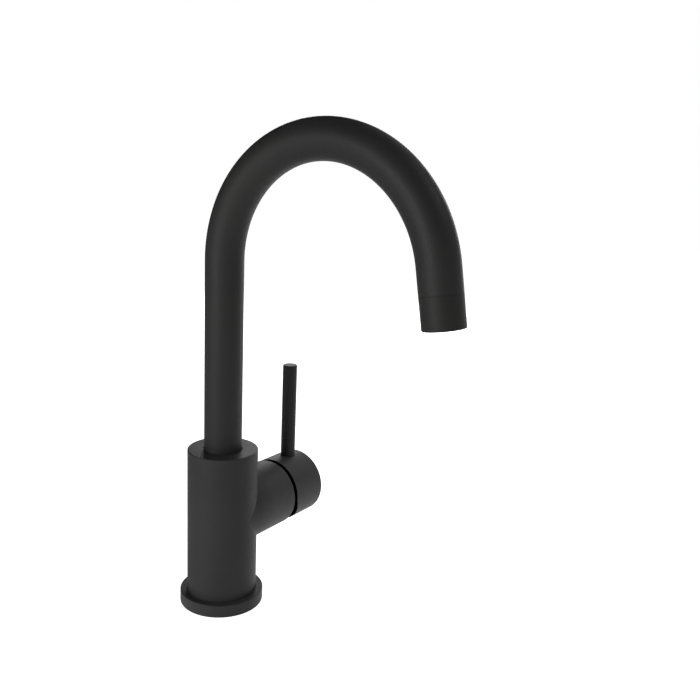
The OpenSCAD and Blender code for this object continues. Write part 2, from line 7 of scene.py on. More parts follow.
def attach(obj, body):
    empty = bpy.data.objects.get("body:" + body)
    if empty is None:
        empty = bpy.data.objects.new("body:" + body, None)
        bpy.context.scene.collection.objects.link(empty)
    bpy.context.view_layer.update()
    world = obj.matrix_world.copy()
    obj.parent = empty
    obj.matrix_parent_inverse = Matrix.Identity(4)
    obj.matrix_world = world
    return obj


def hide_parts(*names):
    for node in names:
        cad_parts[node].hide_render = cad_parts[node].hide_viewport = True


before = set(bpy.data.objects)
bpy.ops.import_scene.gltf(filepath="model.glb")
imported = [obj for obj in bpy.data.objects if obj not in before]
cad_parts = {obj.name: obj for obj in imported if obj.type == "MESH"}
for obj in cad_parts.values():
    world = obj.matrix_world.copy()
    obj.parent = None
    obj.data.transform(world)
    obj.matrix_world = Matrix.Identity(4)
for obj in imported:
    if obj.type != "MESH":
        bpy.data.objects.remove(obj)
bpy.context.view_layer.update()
print("frame loaded:", len(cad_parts), "nodes")

# sizes are in millimetres and angles in degrees, unless a note says metres; finishPiece scales the meshes
toMetres = 0.001
axisHeight = 63.0  # handle axis above the deck
overlap = 1.0  # how far a shape reaches into its neighbour before the two are cut or joined
matchGap = 0.01  # how near a corner has to lie to the ring or wall that it is looked for on
weldGap = 1e-4  # corners closer than this become one
planeGap = 1e-5  # corners closer than this to a cutting plane lie on it
sharpAngle = 32  # edges that turn more than this stay sharp
fineSteps, mediumSteps, coarseSteps = 5, 3, 2  # segments across a rounding
sideways = (Matrix.Translation((0, 0, axisHeight))
            @ Matrix.Rotation(math.pi / 2, 4, "Y"))  # local z runs out to the handle


def addObject(name, data):
    added = bpy.data.objects.new(name, data)
    bpy.context.scene.collection.objects.link(added)
    return added


# camera

cameraSet = {
    "position": (-406.8, -372.4, 310.3),
    "bearing": -56.204,
    "pitch": 13.143,
    "roll": 2.526,
    "lens": 43.68,
    "sensor": 36,
    "clip": (0.01, 50),  # metres
}


def makeCamera():
    s = cameraSet
    data = bpy.data.cameras.new("camera")
    data.sensor_width = s["sensor"]
    data.lens = s["lens"]
    data.clip_start, data.clip_end = s["clip"]
    camera = addObject("camera", data)
    turn = (Matrix.Rotation(math.radians(s["bearing"]), 4, "Z")
            @ Matrix.Rotation(math.radians(90 - s["pitch"]), 4, "X")
            @ Matrix.Rotation(math.radians(s["roll"]), 4, "Z"))
    camera.matrix_world = Matrix.Translation(Vector(s["position"]) * toMetres) @ turn
    bpy.context.scene.camera = camera


makeCamera()
print("camera placed")


# node helpers

noiseSpan = (0.3, 0.7)  # the stretch of values that a noise mostly keeps to


def newMaterial(name):
    material = bpy.data.materials.new(name)
    material.use_nodes = True
    tree = material.node_tree
    tree.nodes.clear()
    output = tree.nodes.new("ShaderNodeOutputMaterial")
    shader = tree.nodes.new("ShaderNodeBsdfPrincipled")
    tree.links.new(shader.outputs["BSDF"], output.inputs["Surface"])
    return material, tree, shader


def feed(tree, socket, value):
    if isinstance(value, (int, float)):
        socket.default_value = value
    else:
        tree.links.new(value, socket)


def objectPlace(tree, size=(1, 1, 1), move=(0, 0, 0), turn=(0, 0, 0)):  # move in metres
    place = tree.nodes.new("ShaderNodeTexCoord")
    mapping = tree.nodes.new("ShaderNodeMapping")
    mapping.inputs["Scale"].default_value = size
    mapping.inputs["Location"].default_value = move
    mapping.inputs["Rotation"].default_value = [math.radians(angle) for angle in turn]
    tree.links.new(place.outputs["Object"], mapping.inputs["Vector"])
    return mapping.outputs["Vector"]


def noise(tree, place, scale, detail, rough=0.5):
    node = tree.nodes.new("ShaderNodeTexNoise")
    node.inputs["Scale"].default_value = scale
    node.inputs["Detail"].default_value = detail
    node.inputs["Roughness"].default_value = rough
    tree.links.new(place, node.inputs["Vector"])
    return node.outputs["Fac"]


def toneRamp(tree, factor, places, tones):
    node = tree.nodes.new("ShaderNodeValToRGB")
    stops = node.color_ramp.elements
    stops[0].position, stops[0].color = places[0], (*tones[0], 1)
    stops[1].position, stops[1].color = places[-1], (*tones[-1], 1)
    for at, tone in zip(places[1:-1], tones[1:-1]):
        stops.new(at).color = (*tone, 1)
    tree.links.new(factor, node.inputs["Fac"])
    return node.outputs["Color"]


def spread(tree, value, span, ends):
    node = tree.nodes.new("ShaderNodeMapRange")
    node.inputs["From Min"].default_value, node.inputs["From Max"].default_value = span
    node.inputs["To Min"].default_value, node.inputs["To Max"].default_value = ends
    tree.links.new(value, node.inputs["Value"])
    return node.outputs["Result"]


def blendTones(tree, factor, first, second):
    node = tree.nodes.new("ShaderNodeMix")
    node.data_type = "RGBA"
    feed(tree, node.inputs["Factor"], factor)
    tree.links.new(first, node.inputs["A"])
    tree.links.new(second, node.inputs["B"])
    return node.outputs["Result"]


def relief(tree, shader, heights):
    normal = None
    for height, (strength, depth) in heights:  # depth in metres
        bump = tree.nodes.new("ShaderNodeBump")
        bump.inputs["Strength"].default_value = strength
        bump.inputs["Distance"].default_value = depth
        tree.links.new(height, bump.inputs["Height"])
        if normal:
            tree.links.new(normal, bump.inputs["Normal"])
        normal = bump.outputs["Normal"]
    tree.links.new(normal, shader.inputs["Normal"])


def scaled(tone, factor):
    return [c * factor for c in tone]


# powder coat: fine leathery peel, a dry grain and a slow drift of tone

coatSet = {
    "dark": (0.0150, 0.0150, 0.0153),
    "light": (0.0205, 0.0204, 0.0203),
    "warm": (0.0200, 0.0190, 0.0165),
    "drift": {"scale": 14, "detail": 3},
    "driftStops": (0.35, 0.65),
    "patches": {"scale": 9, "detail": 2},
    "grain": {"scale": 5200, "detail": 3, "rough": 0.6},
    "grainStops": (0.25, 0.5, 0.75),
    "specks": (0.72, 1.25),  # darkest and lightest grain against the coat round it
    "speckShare": 0.35,
    "peel": {"scale": 900, "detail": 2, "rough": 0.45},
    "roughness": (0.50, 0.60),
    "gloss": 0.15,
    "peelRelief": (0.25, 0.00006),
    "grainRelief": (0.2, 0.00002),
    "boss": (0.013, 0.030),  # stretches of the handle axis where a coat's tone changes as painted light (the boss lighter, the cap's end face darker), in metres
    "capEndPaintedLight": (0.0836, 0.0838),
}


def makeCoat(name, paintedLightLevel=1.0, warmth=0.0, gloss=coatSet["gloss"], move=(0, 0, 0), paintedLightStretch=None, paintedLightChange=0.0):
    s = coatSet
    material, tree, shader = newMaterial(name)
    where = objectPlace(tree, move=move)
    drift = noise(tree, where, **s["drift"])
    grain = noise(tree, where, **s["grain"])
    peel = noise(tree, where, **s["peel"])
    # the level scales the coat's tones as painted light or shade for this piece
    dark, light, warm = (scaled(s[key], paintedLightLevel) for key in ("dark", "light", "warm"))
    darkest, lightest = s["specks"]
    base = toneRamp(tree, drift, s["driftStops"], (dark, light))
    tint = toneRamp(tree, noise(tree, where, **s["patches"]), noiseSpan, (dark, warm))
    specks = toneRamp(tree, grain, s["grainStops"], (scaled(dark, darkest), light, scaled(light, lightest)))
    tone = blendTones(tree, warmth, blendTones(tree, s["speckShare"], base, specks), tint)
    if paintedLightStretch:  # painted light: the coat turns lighter or darker along the handle axis, over this stretch, for how light falls there
        along = tree.nodes.new("ShaderNodeSeparateXYZ")
        tree.links.new(objectPlace(tree), along.inputs[0])
        reach = spread(tree, along.outputs["X"], s[paintedLightStretch], (0, 1))
        paintedLightTones = (scaled(dark, 1 + paintedLightChange), scaled(light, 1 + paintedLightChange))
        beyond = toneRamp(tree, grain, s["grainStops"][::2], paintedLightTones)
        tone = blendTones(tree, reach, tone, beyond)
    tree.links.new(tone, shader.inputs["Base Color"])
    tree.links.new(spread(tree, peel, noiseSpan, s["roughness"]), shader.inputs["Roughness"])
    shader.inputs["Specular IOR Level"].default_value = gloss
    relief(tree, shader, [(peel, s["peelRelief"]), (grain, s["grainRelief"])])
    return material


# painted shade on the inner faces and on the cap's rim and relief seen in the gap: nearly black, grainy and
# without shine

innerShadeSet = {
    "tones": ((0.0012, 0.0012, 0.0012), (0.0024, 0.0024, 0.0024)),
    "grain": {"scale": 4200, "detail": 3, "rough": 0.6},
    "roughness": (0.80, 0.95),
    "relief": (0.2, 0.00002),
}


def makeInnerShade(name):
    s = innerShadeSet
    material, tree, shader = newMaterial(name)
    grain = noise(tree, objectPlace(tree), **s["grain"])
    tree.links.new(toneRamp(tree, grain, noiseSpan, s["tones"]), shader.inputs["Base Color"])
    tree.links.new(spread(tree, grain, noiseSpan, s["roughness"]), shader.inputs["Roughness"])
    shader.inputs["Specular IOR Level"].default_value = 0.0
    relief(tree, shader, [(grain, s["relief"])])
    return material


# turned metal: rings round an axis, fine scratches and a little tarnish

metalSet = {
    "rings": {"Scale": 150, "Distortion": 1.5, "Detail": 3},
    "cloud": {"scale": 60, "detail": 4, "rough": 0.6},
    "cloudStops": (0.3, 0.55, 0.8),
    "fine": {"scale": 2600, "detail": 2},
    "ringRelief": (0.12, 0.00002),
    "fineRelief": (0.1, 0.00001),
    "onHandleAxis": {"turn": (0, 90, 0), "move": (-axisHeight * toMetres, 0, 0)},
}


def makeMetal(name, tone, stain, roughness, onHandleAxis=False):
    s = metalSet
    material, tree, shader = newMaterial(name)
    where = objectPlace(tree)
    laid = objectPlace(tree, **s["onHandleAxis"]) if onHandleAxis else where
    marks = tree.nodes.new("ShaderNodeTexWave")
    marks.wave_type = "RINGS"
    marks.rings_direction = "Z"
    for socket, value in s["rings"].items():
        marks.inputs[socket].default_value = value
    tree.links.new(laid, marks.inputs["Vector"])
    cloud = noise(tree, where, **s["cloud"])
    fine = noise(tree, where, **s["fine"])
    tree.links.new(toneRamp(tree, cloud, s["cloudStops"], (tone, tone, stain)), shader.inputs["Base Color"])
    tree.links.new(spread(tree, fine, noiseSpan, roughness), shader.inputs["Roughness"])
    shader.inputs["Metallic"].default_value = 1.0
    relief(tree, shader, [(marks.outputs["Fac"], s["ringRelief"]), (fine, s["fineRelief"])])
    return material


# moulded plastic: spark-eroded grain and faint flow marks

plasticSet = {
    "flow": {"scale": 45, "detail": 4, "rough": 0.55},
    "flowSize": (1, 1, 3),
    "pits": {"detail": 3, "rough": 0.6},
    "relief": (0.3, 0.00002),
    "clearDepth": 0.001,  # metres
}


def makePlastic(name, tone, second, roughness, grain=3200, clear=0.0):
    s = plasticSet
    material, tree, shader = newMaterial(name)
    flow = noise(tree, objectPlace(tree, size=s["flowSize"]), **s["flow"])
    pits = noise(tree, objectPlace(tree), grain, **s["pits"])
    tree.links.new(toneRamp(tree, flow, noiseSpan, (tone, second)), shader.inputs["Base Color"])
    tree.links.new(spread(tree, pits, noiseSpan, roughness), shader.inputs["Roughness"])
    shader.inputs["Subsurface Weight"].default_value = clear
    shader.inputs["Subsurface Scale"].default_value = s["clearDepth"]
    relief(tree, shader, [(pits, s["relief"])])
    return material


# pressed rubber: dull, with bloom and a fine mould grain

rubberSet = {
    "tones": ((0.010, 0.010, 0.010), (0.022, 0.022, 0.023)),
    "bloom": {"scale": 120, "detail": 4, "rough": 0.65},
    "pits": {"scale": 2800, "detail": 3, "rough": 0.6},
    "roughness": (0.68, 0.85),
    "gloss": 0.3,
    "relief": (0.4, 0.00004),
}


def makeRubber(name):
    s = rubberSet
    material, tree, shader = newMaterial(name)
    where = objectPlace(tree)
    bloom = noise(tree, where, **s["bloom"])
    pits = noise(tree, where, **s["pits"])
    tree.links.new(toneRamp(tree, bloom, noiseSpan, s["tones"]), shader.inputs["Base Color"])
    tree.links.new(spread(tree, pits, noiseSpan, s["roughness"]), shader.inputs["Roughness"])
    shader.inputs["Specular IOR Level"].default_value = s["gloss"]
    relief(tree, shader, [(pits, s["relief"])])
    return material


# sintered ceramic: lapped, with faint grey flecks

ceramicSet = {
    "tones": ((0.55, 0.54, 0.51), (0.82, 0.81, 0.78), (0.86, 0.85, 0.82)),
    "flecks": {"scale": 1900, "detail": 4, "rough": 0.7},
    "fleckStops": (0.25, 0.42, 0.7),
    "lapping": {"scale": 700, "detail": 2},
    "lappingSize": (1, 6, 1),
    "roughness": (0.12, 0.22),
    "relief": (0.05, 0.00001),
}


def makeCeramic(name):
    s = ceramicSet
    material, tree, shader = newMaterial(name)
    flecks = noise(tree, objectPlace(tree), **s["flecks"])
    lapping = noise(tree, objectPlace(tree, size=s["lappingSize"]), **s["lapping"])
    tree.links.new(toneRamp(tree, flecks, s["fleckStops"], s["tones"]), shader.inputs["Base Color"])
    tree.links.new(spread(tree, lapping, noiseSpan, s["roughness"]), shader.inputs["Roughness"])
    relief(tree, shader, [(lapping, s["relief"])])
    return material


# move, in metres, keeps two coats from showing the same spots. The level each coat gets is painted light
# and shade: one powder coat made lighter or darker piece by piece for how light falls on that piece
# the body coat is painted lighter on the boss, as painted light
coatBody = makeCoat("powder_coat_body_painted_light", paintedLightLevel=1.18, paintedLightStretch="boss", paintedLightChange=0.95)
coatSpout = makeCoat("powder_coat_spout", paintedLightLevel=0.87, warmth=0.25, move=(0.3, 0, 0))
coatSleeve = makeCoat("powder_coat_sleeve", paintedLightLevel=0.75, warmth=0.45, move=(0.7, 0.2, 0))
# the cap's coat is painted light, 2.5 times lighter, with its end face set back darker as painted shade
coatHandle = makeCoat("powder_coat_handle_painted_light", paintedLightLevel=2.5, move=(0, 0.5, 0), paintedLightStretch="capEndPaintedLight", paintedLightChange=-0.6)
coatLever = makeCoat("powder_coat_lever", paintedLightLevel=0.8, move=(0, 0.9, 0.4))
coatFlange = makeCoat("powder_coat_flange", paintedLightLevel=1.35, move=(0, 0, 0.8))
# the trim ring's coat is painted shade: near black for the shade in the gap
trimShade = makeCoat("trim_painted_shade", paintedLightLevel=0.15, gloss=0.03, move=(0.2, 0.4, 0.1))
innerShade = makeInnerShade("painted_shade_inner")
turnedBrass = makeMetal("turned_brass", tone=(0.62, 0.44, 0.20), stain=(0.40, 0.26, 0.11),
                        roughness=(0.24, 0.40))
turnedNut = makeMetal("turned_nut", tone=(0.60, 0.43, 0.21), stain=(0.38, 0.25, 0.11),
                      roughness=(0.26, 0.42), onHandleAxis=True)
stainless = makeMetal("stainless_steel", tone=(0.50, 0.50, 0.50), stain=(0.36, 0.35, 0.34),
                      roughness=(0.22, 0.38))
pressedRubber = makeRubber("pressed_rubber")
bearingPlastic = makePlastic("acetal_ring", tone=(0.72, 0.71, 0.67), second=(0.78, 0.77, 0.74),
                             roughness=(0.32, 0.45), clear=0.08)
cartridgePlastic = makePlastic("cartridge_moulding", tone=(0.62, 0.60, 0.54), second=(0.68, 0.66, 0.60),
                               roughness=(0.38, 0.52), clear=0.05)
housingPlastic = makePlastic("housing_moulding", tone=(0.040, 0.041, 0.044), second=(0.052, 0.053, 0.056),
                             roughness=(0.40, 0.55))
aeratorPlastic = makePlastic("aerator_moulding", tone=(0.045, 0.045, 0.046), second=(0.060, 0.060, 0.060),
                             roughness=(0.35, 0.50), grain=4000)
lappedCeramic = makeCeramic("lapped_ceramic")
print("materials made:", len(bpy.data.materials))


# mesh helpers

def turned(outline, steps, closed=False):
    bm = bmesh.new()
    points = [bm.verts.new((r, 0, h)) for r, h in outline]
    pairs = list(zip(points, points[1:]))
    if closed:
        pairs.append((points[-1], points[0]))
    edges = [bm.edges.new(p) for p in pairs]
    bmesh.ops.spin(bm, geom=points + edges, cent=(0, 0, 0), axis=(0, 0, 1), dvec=(0, 0, 0),
                   angle=math.tau, steps=steps, use_merge=True, use_duplicate=False)
    bmesh.ops.remove_doubles(bm, verts=bm.verts, dist=weldGap)
    bmesh.ops.recalc_face_normals(bm, faces=bm.faces)
    return bm


def place(bm, matrix):
    bmesh.ops.transform(bm, matrix=matrix, verts=bm.verts)
    return bm


def isNear(value, wanted):
    return abs(value - wanted) < matchGap


def roundOff(bm, edges, size, segments):
    bmesh.ops.bevel(bm, geom=edges, offset=size, offset_type="OFFSET", segments=segments,
                    profile=0.5, affect="EDGES", material=-1, clamp_overlap=False)


def soften(bm, rings, size, segments):
    def liesOn(edge, r, h):
        return all(isNear(math.hypot(v.co.x, v.co.y), r) and isNear(v.co.z, h) for v in edge.verts)

    roundOff(bm, [e for e in bm.edges if any(liesOn(e, r, h) for r, h in rings)], size, segments)


def cornersOf(edges):
    return {v for e in edges for v in e.verts}


def boundaryOf(geometry):
    return [g for g in geometry if isinstance(g, bmesh.types.BMEdge) and g.is_boundary]


def grown(bm, edges):
    return boundaryOf(bmesh.ops.extrude_edge_only(bm, edges=edges)["geom"])


def passOn(bm, name):
    data = bpy.data.meshes.new(name)
    bm.to_mesh(data)
    bm.free()
    return data


def joined(*meshes):
    whole = bmesh.new()
    for part in meshes:
        data = passOn(part, "passing")
        whole.from_mesh(data)
        bpy.data.meshes.remove(data)
    return whole


def cutAway(bm, *cutters):
    objects = [addObject("cutting", passOn(part, "cutting")) for part in (bm, *cutters)]
    for cutter in objects[1:]:
        cut = objects[0].modifiers.new("cut", "BOOLEAN")
        cut.operation = "DIFFERENCE"
        cut.solver = "EXACT"
        cut.object = cutter
    bpy.context.view_layer.update()
    done = objects[0].evaluated_get(bpy.context.evaluated_depsgraph_get())
    whole = bmesh.new()
    whole.from_mesh(done.to_mesh())
    done.to_mesh_clear()
    for spent in objects:
        data = spent.data
        bpy.data.objects.remove(spent)
        bpy.data.meshes.remove(data)
    bmesh.ops.remove_doubles(whole, verts=whole.verts, dist=weldGap)
    return whole


def drill(radius, start, end, steps):
    along = Vector(end) - Vector(start)
    bm = bmesh.new()
    bmesh.ops.create_cone(bm, cap_ends=True, segments=steps, radius1=radius, radius2=radius,
                          depth=along.length)
    turn = Vector((0, 0, 1)).rotation_difference(along).to_matrix().to_4x4()
    return place(bm, Matrix.Translation((Vector(start) + Vector(end)) / 2) @ turn)


def markPaintedShade(bm, shaded):
    for face in bm.faces:
        face.material_index = int(all(shaded(v.co) for v in face.verts))


def finishPiece(name, bm, body, material, nodes):
    bmesh.ops.recalc_face_normals(bm, faces=bm.faces)
    openEdges = sum(not e.is_manifold for e in bm.edges)
    for face in bm.faces:
        face.smooth = True
    for edge in bm.edges:
        if len(edge.link_faces) == 2:
            edge.smooth = edge.calc_face_angle(0) < math.radians(sharpAngle)
    bmesh.ops.scale(bm, vec=(toMetres,) * 3, verts=bm.verts)
    data = passOn(bm, name)
    piece = addObject(name, data)
    data.materials.append(material)
    # faces marked for painted shade take the near-black second material
    if any(face.material_index for face in data.polygons):
        data.materials.append(innerShade)
    even = piece.modifiers.new("even", "WEIGHTED_NORMAL")
    even.keep_sharp = True
    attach(piece, body)
    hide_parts(*nodes)
    print("piece", name, len(data.polygons), "faces,", openEdges, "open edges")


# body: shaft and side boss, joined by a small cast fillet

bodySet = {
    "radius": 23.8,
    "top": 110.8,
    "foot": 3.0,
    "footHollow": (20.0, 38.0),  # radius and roof
    "socket": (13.1, 78.75),  # radius and floor
    "bossReach": 51.3,
    "trimSeat": (20.8, 46.2),  # these three: radius and floor, from the mouth inwards
    "nutSeat": (19.0, 37.0),
    "cavity": (17.75, 14.5),
    "edge": 0.6,
    "smallEdge": 0.25,
    "fillet": 1.2,
    "filletSteps": 7,
    "filletWeld": 0.002,
    "wallFace": 10,  # square millimetres, more than any face of a rounding has
    "screwHole": {"radius": 2.5, "height": 95.46, "start": 12.2, "end": 30, "steps": 48},
    "innerPlay": 0.1,  # an inner face, which takes the painted shade, lies nearer than this to the walls above
    "steps": 192,
}
widened = 1 + bodySet["fillet"] / bodySet["radius"]  # outer edge of the fillet against the wall


def fromUpright(p):
    return math.hypot(p.x, p.y)


def fromHandleAxis(p):
    return math.hypot(p.y, p.z - axisHeight)


def openWall(bm, distance, slopes, isInside):
    # cuts the outer wall along planes through the point where the two axes cross
    def isWall(face):
        return all(isNear(distance(v.co), bodySet["radius"]) for v in face.verts)

    for slope in slopes:
        wall = [f for f in bm.faces if f.calc_area() > bodySet["wallFace"] and isWall(f)
                and f.calc_center_median().x > -overlap]
        edges = {e for f in wall for e in f.edges}
        bmesh.ops.bisect_plane(bm, geom=[*cornersOf(edges), *edges, *wall], dist=planeGap,
                               plane_co=(0, 0, axisHeight), plane_no=slope)
    inside = [f for f in bm.faces if isWall(f) and isInside(f.calc_center_median())]
    bmesh.ops.delete(bm, geom=inside, context="FACES")


def makeShaft():
    s = bodySet
    radius, foot, top = s["radius"], s["foot"], s["top"]
    hollow, roof = s["footHollow"]
    socket, floor = s["socket"]
    bm = turned([(0, roof), (hollow, roof), (hollow, foot), (radius, foot), (radius, top), (socket, top),
                 (socket, floor), (0, floor)], s["steps"])
    soften(bm, [(radius, top)], s["edge"], fineSteps)
    soften(bm, [(socket, top), (radius, foot)], s["smallEdge"], coarseSteps)
    openWall(bm, fromUpright, [(-widened, 0, 1), (-widened, 0, -1)],
             lambda p: p.x > 0 and abs(p.z - axisHeight) < widened * p.x - weldGap)
    return bm


def makeBoss():
    s = bodySet
    radius, reach = s["radius"], s["bossReach"]
    outline = [(radius, -overlap), (radius, reach)]
    last = reach
    for seat, floor in (s["trimSeat"], s["nutSeat"], s["cavity"]):
        outline += [(seat, last), (seat, floor)]
        last = floor
    bm = turned([*outline, (0, last)], s["steps"])
    soften(bm, [(radius, reach)], s["edge"], fineSteps)
    soften(bm, [(s["trimSeat"][0], reach)], s["smallEdge"], coarseSteps)
    place(bm, sideways)
    openWall(bm, fromHandleAxis, [(1, 0, -widened), (1, 0, widened)],
             lambda p: p.x < widened * abs(p.z - axisHeight) - weldGap)
    return bm


def castFillet(shaft):
    # the fillet grows from the shaft's opening, ring by ring, towards the boss
    s = bodySet
    home = shaft.verts.layers.float_vector.new("home")
    rim = [e for e in shaft.edges if e.is_boundary]
    for v in cornersOf(rim):
        v[home] = v.co
    for i in range(1, s["filletSteps"] + 1):
        rim = grown(shaft, rim)
        for v in cornersOf(rim):
            onShaft = v[home]
            onBoss = Vector((onShaft.x * widened, onShaft.y,
                             axisHeight + (onShaft.z - axisHeight) / widened))
            hub = Vector((onShaft.x * widened, onShaft.y * widened, onShaft.z))
            aim = (onShaft - hub).lerp(onBoss - hub, i / s["filletSteps"])
            v.co = hub + aim.normalized() * s["fillet"]
    shaft.verts.layers.float_vector.remove(home)


def makeBody():
    s = bodySet
    play = s["innerPlay"]
    hollow, roof = s["footHollow"]
    socket, socketFloor = s["socket"]
    shaft, boss = makeShaft(), makeBoss()
    castFillet(shaft)
    bm = joined(shaft, boss)
    bmesh.ops.remove_doubles(bm, verts=bm.verts, dist=s["filletWeld"])
    bmesh.ops.recalc_face_normals(bm, faces=bm.faces)
    hole = s["screwHole"]
    start, end = (0, hole["start"], hole["height"]), (0, hole["end"], hole["height"])
    bm = cutAway(bm, drill(hole["radius"], start, end, hole["steps"]))

    # painted shade: the boss cavity, the spout socket and the foot hollow
    def takesPaintedShade(p):
        inBoss = p.x > s["cavity"][1] - play and fromHandleAxis(p) < s["trimSeat"][0] + play
        inSocket = socketFloor - play < p.z < s["top"] - play and fromUpright(p) < socket + play
        inFoot = p.z < roof + play and fromUpright(p) < hollow + play
        return inBoss or inSocket or inFoot

    markPaintedShade(bm, takesPaintedShade)
    finishPiece("body_shell", bm, "body", coatBody, ["body_casting"])


makeBody()


# base flange

flangeSet = {
    "radius": 28.6,
    "height": 8.6,
    "bore": 23.85,
    "ledge": (20.5, 3.0),  # radius and height
    "groove": (23.6, 26.4, 1.5),  # inner and outer radius, depth
    "edge": 0.6,
    "smallEdge": 0.2,
    "steps": 192,
}


def makeFlange():
    s = flangeSet
    radius, height, bore = s["radius"], s["height"], s["bore"]
    ledge, rise = s["ledge"]
    inner, outer, deep = s["groove"]
    bm = turned([(ledge, 0), (inner, 0), (inner, deep), (outer, deep), (outer, 0), (radius, 0),
                 (radius, height), (bore, height), (bore, rise), (ledge, rise)], s["steps"], closed=True)
    soften(bm, [(radius, height)], s["edge"], fineSteps)
    soften(bm, [(bore, height), (radius, 0)], s["smallEdge"], coarseSteps)
    finishPiece("base_ring", bm, "body", coatFlange, ["base_flange"])


makeFlange()


# trim ring seen in the gap: a quarter ellipse turned round the handle axis; its near-black coat is painted
# shade in the gap

trimSet = {
    "hole": 12.6,
    "radius": 20.75,
    "foot": 46.2,
    "edge": 50.8,
    "rise": 2.2,
    "skirt": 2.4,
    "wall": 1.5,
    "lip": 1.8,
    "holeEdge": 0.3,
    "arcSteps": 16,
    "steps": 144,
}


def quarterEllipse(centre, wide, high, steps):
    bm = bmesh.new()
    first = bm.verts.new((1, 0, 0))
    bmesh.ops.spin(bm, geom=[first], cent=(0, 0, 0), axis=(0, -1, 0), dvec=(0, 0, 0),
                   angle=math.pi / 2, steps=steps)
    place(bm, Matrix.Translation(centre) @ Matrix.Diagonal((wide, 1, high, 1)))
    arc = [(v.co.x, v.co.z) for v in sorted(bm.verts, key=lambda v: v.co.z)]
    bm.free()
    return arc


def makeTrimRing():
    s = trimSet
    hole, radius, crown = s["hole"], s["radius"], s["edge"] + s["rise"]
    bore = radius - s["wall"]
    outline = quarterEllipse((hole, 0, s["edge"]), radius - hole, s["rise"], s["arcSteps"])
    outline += [(hole, crown - s["lip"]), (bore, s["foot"] + s["skirt"]), (bore, s["foot"]),
                (radius, s["foot"])]
    bm = turned(outline, s["steps"], closed=True)
    soften(bm, [(hole, crown)], s["holeEdge"], mediumSteps)
    place(bm, sideways)
    finishPiece("trim_ring", bm, "body", trimShade, ["bonnet"])


makeTrimRing()
print("body side done")


# gooseneck

spoutSet = {
    "radius": 12.7,
    "bore": 11.3,
    "foot": 104.2,
    "spring": 238.6,
    "arch": 78.35,
    "angle": 170.2,
    "drop": 15.26,
    "lipEdge": 0.12,
    "around": 128,
    "along": 170,
}
tip = (Matrix.Translation((0, -spoutSet["arch"], spoutSet["spring"]))
       @ Matrix.Rotation(math.radians(spoutSet["angle"]), 4, "X")
       @ Matrix.Translation((0, spoutSet["arch"], 0)))  # local z runs down the outlet, from the arch on


def sweepTube(bm, radius):
    # one wall of the tube, from its foot up, round the arch and down; gives its first and last ring
    s = spoutSet
    ring = bmesh.ops.create_circle(bm, cap_ends=False, segments=s["around"], radius=radius,
                                   matrix=Matrix.Translation((0, 0, s["foot"])))["verts"]
    first = list({e for v in ring for e in v.link_edges})
    edges = grown(bm, first)
    bmesh.ops.translate(bm, vec=(0, 0, s["spring"] - s["foot"]), verts=list(cornersOf(edges)))
    swung = bmesh.ops.spin(bm, geom=edges, cent=(0, -s["arch"], s["spring"]), axis=(1, 0, 0),
                           dvec=(0, 0, 0), angle=math.radians(s["angle"]), steps=s["along"],
                           use_duplicate=False)["geom_last"]
    last = grown(bm, [g for g in swung if isinstance(g, bmesh.types.BMEdge)])
    bmesh.ops.translate(bm, vec=tip.to_3x3() @ Vector((0, 0, s["drop"])), verts=list(cornersOf(last)))
    return first, last


def makeGooseneck():
    s = spoutSet
    bm = bmesh.new()
    outerFirst, outerLast = sweepTube(bm, s["radius"])
    innerFirst, innerLast = sweepTube(bm, s["bore"])
    bmesh.ops.bridge_loops(bm, edges=outerFirst + innerFirst)
    bmesh.ops.bridge_loops(bm, edges=outerLast + innerLast)
    bmesh.ops.recalc_face_normals(bm, faces=bm.faces)
    roundOff(bm, outerLast, s["lipEdge"], coarseSteps)
    finishPiece("gooseneck", bm, "spout", coatSpout, ["spout_tube"])


makeGooseneck()


# outlet sleeve, seated against the tube with a hairline seam; heights run down from the end of the arch

sleeveSet = {
    "radius": 12.7,
    "seam": 15.30,
    "end": 34.7,
    "spigot": (11.27, 7.2),  # radius and top
    "bore": 9.4,
    "chamber": (11.0, 19.85),  # radius and shoulder
    "edge": 0.6,
    "seamEdge": 0.12,
    "mouthEdge": 0.25,
    "steps": 160,
}


def makeSleeve():
    s = sleeveSet
    radius, seam, end, bore = s["radius"], s["seam"], s["end"], s["bore"]
    neck, top = s["spigot"]
    chamber, shoulder = s["chamber"]
    bm = turned([(bore, top), (neck, top), (neck, seam), (radius, seam), (radius, end), (chamber, end),
                 (chamber, shoulder), (bore, shoulder)], s["steps"], closed=True)
    soften(bm, [(radius, end)], s["edge"], fineSteps)
    soften(bm, [(radius, seam)], s["seamEdge"], coarseSteps)
    soften(bm, [(chamber, end)], s["mouthEdge"], mediumSteps)
    place(bm, tip)
    finishPiece("outlet_collar", bm, "spout", coatSleeve, ["outlet_sleeve"])


makeSleeve()


# aerator cup with key slots in its rim; its top is measured as on the sleeve

aeratorSet = {
    "top": 21.85,
    "length": 12.05,
    "outer": 10.95,
    "bore": 8.4,
    "screen": (9.6, 1.0),  # radius and depth of its seat
    "grid": (9.4, 2.8),
    "rimEdge": 0.15,
    "slots": 4,
    "firstSlot": 45,
    "slotRadii": (9.9, 10.6),
    "slotDepth": 1.2,
    "slotHalf": 1.1,
    "steps": 160,
}


